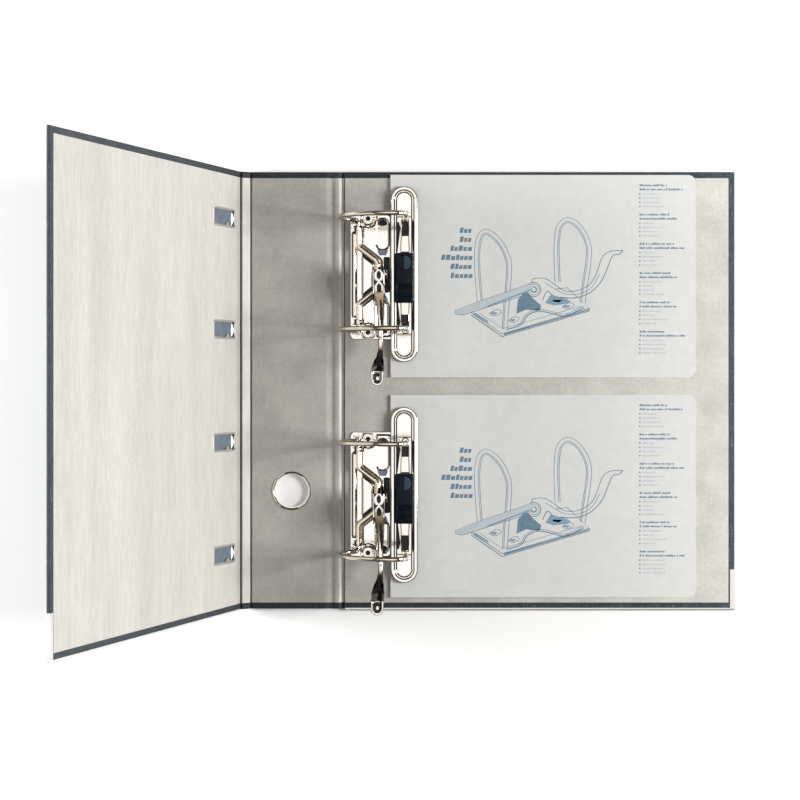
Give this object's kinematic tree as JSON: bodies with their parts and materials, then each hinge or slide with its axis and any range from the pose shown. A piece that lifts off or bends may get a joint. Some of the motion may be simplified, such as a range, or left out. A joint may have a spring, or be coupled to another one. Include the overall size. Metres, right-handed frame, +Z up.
{
  "type": "lever arch file",
  "caption": "Board case with a folding spine and front cover, holding paired lever arch mechanisms, sliding compressor bars, metal edge guards and a finger ring.",
  "frame": {"origin": "centre of the back cover's outer face, on which the file lies", "axes": "+X from the spine to the back cover's fore edge, +Y to the head of the file, +Z up from the table"},
  "size_m": [0.4549, 0.3194, 0.2767],
  "materials": {
    "covering_paper": "matt printed paper with a fine speckle",
    "inside_lining": "uncoated grey lining paper",
    "front_inside_lining": "uncoated pale lining paper",
    "greyboard": "raw grey board",
    "nickel_steel": "bright nickel plate",
    "guard_steel": "satin nickel plate",
    "roller_brass": "satin",
    "clip_plastic": "moulded, satin",
    "insert_card": "printed card",
    "label_paper": "blank paper label"
  },
  "bodies": {
    "back_cover": {"back_board": "greyboard", "back_paper": "covering_paper", "back_lining": "inside_lining", "back_edge_guard": "guard_steel", "upper_base_plate": "nickel_steel", "upper_posts": "nickel_steel", "upper_mounting_rivets": "nickel_steel", "upper_lever_pivot": "nickel_steel", "upper_insert_sheet": "insert_card", "lower_base_plate": "nickel_steel", "lower_posts": "nickel_steel", "lower_mounting_rivets": "nickel_steel", "lower_lever_pivot": "nickel_steel", "lower_insert_sheet": "insert_card"},
    "back_crease": {"back_crease_board": "greyboard", "back_crease_paper": "covering_paper", "back_crease_lining": "inside_lining"},
    "spine": {"spine_board": "greyboard", "spine_paper": "covering_paper", "spine_lining": "inside_lining", "spine_label": "label_paper", "finger_ring": "guard_steel", "finger_washer": "guard_steel"},
    "front_crease": {"front_crease_board": "greyboard", "front_crease_paper": "covering_paper", "front_crease_lining": "inside_lining"},
    "front_cover": {"front_board": "greyboard", "front_paper": "covering_paper", "front_lining": "front_inside_lining", "front_edge_guard": "guard_steel", "slot_frames": "guard_steel"},
    "upper_lever_arm": {"upper_lever": "nickel_steel", "upper_roller_pin": "nickel_steel"},
    "upper_roller": {"upper_cam_roller": "roller_brass"},
    "upper_arches": {"upper_bow": "nickel_steel"},
    "upper_compressor": {"upper_compressor_bar": "nickel_steel", "upper_compressor_clip": "clip_plastic"},
    "lower_lever_arm": {"lower_lever": "nickel_steel", "lower_roller_pin": "nickel_steel"},
    "lower_roller": {"lower_cam_roller": "roller_brass"},
    "lower_arches": {"lower_bow": "nickel_steel"},
    "lower_compressor": {"lower_compressor_bar": "nickel_steel", "lower_compressor_clip": "clip_plastic"}
  },
  "joints": [
    {"name": "back_fold", "type": "hinge", "parent": "back_cover", "child": "back_crease", "pos_m": [-0.142, 0, 0.0026], "axis": [0, 1, 0], "range_deg": [0, 45]},
    {"name": "spine_fold", "type": "hinge", "parent": "back_crease", "child": "spine", "pos_m": [-0.151, 0, 0.0026], "axis": [0, 1, 0], "range_deg": [0, 45]},
    {"name": "front_fold", "type": "hinge", "parent": "spine", "child": "front_crease", "pos_m": [-0.2103, 0, 0.0026], "axis": [0, 1, 0], "range_deg": [-35.5, 9.5]},
    {"name": "cover_fold", "type": "hinge", "parent": "front_crease", "child": "front_cover", "pos_m": [-0.21763, 0, 0.00783], "axis": [0, 1, 0], "range_deg": [-35.5, 9.5]},
    {"name": "upper_lever_lift", "type": "hinge", "parent": "back_cover", "child": "upper_lever_arm", "pos_m": [-0.117, 0.0836, 0.0246], "axis": [1, 0, 0], "range_deg": [-75, 0]},
    {"name": "upper_arches_open", "type": "hinge", "parent": "back_cover", "child": "upper_arches", "pos_m": [-0.132, 0.0836, 0.0076], "axis": [0, 1, 0], "range_deg": [-60, 0]},
    {"name": "upper_roller_spin", "type": "hinge", "parent": "upper_lever_arm", "child": "upper_roller", "pos_m": [-0.117, 0.0731, 0.01315], "axis": [1, 0, 0], "continuous": true},
    {"name": "upper_compressor_slide", "type": "slide", "parent": "back_cover", "child": "upper_compressor", "axis": [0, 0, 1], "range_m": [0, 0.035]},
    {"name": "lower_lever_lift", "type": "hinge", "parent": "back_cover", "child": "lower_lever_arm", "pos_m": [-0.117, -0.0768, 0.0246], "axis": [1, 0, 0], "range_deg": [-75, 0]},
    {"name": "lower_arches_open", "type": "hinge", "parent": "back_cover", "child": "lower_arches", "pos_m": [-0.132, -0.0768, 0.0076], "axis": [0, 1, 0], "range_deg": [-60, 0]},
    {"name": "lower_roller_spin", "type": "hinge", "parent": "lower_lever_arm", "child": "lower_roller", "pos_m": [-0.117, -0.0873, 0.01315], "axis": [1, 0, 0], "continuous": true},
    {"name": "lower_compressor_slide", "type": "slide", "parent": "back_cover", "child": "lower_compressor", "axis": [0, 0, 1], "range_m": [0, 0.035]}
  ],
  "couplings": [
    {"joint": "upper_arches_open", "follows": "upper_lever_lift", "ratio": 0.8},
    {"joint": "lower_arches_open", "follows": "lower_lever_lift", "ratio": 0.8}
  ]
}
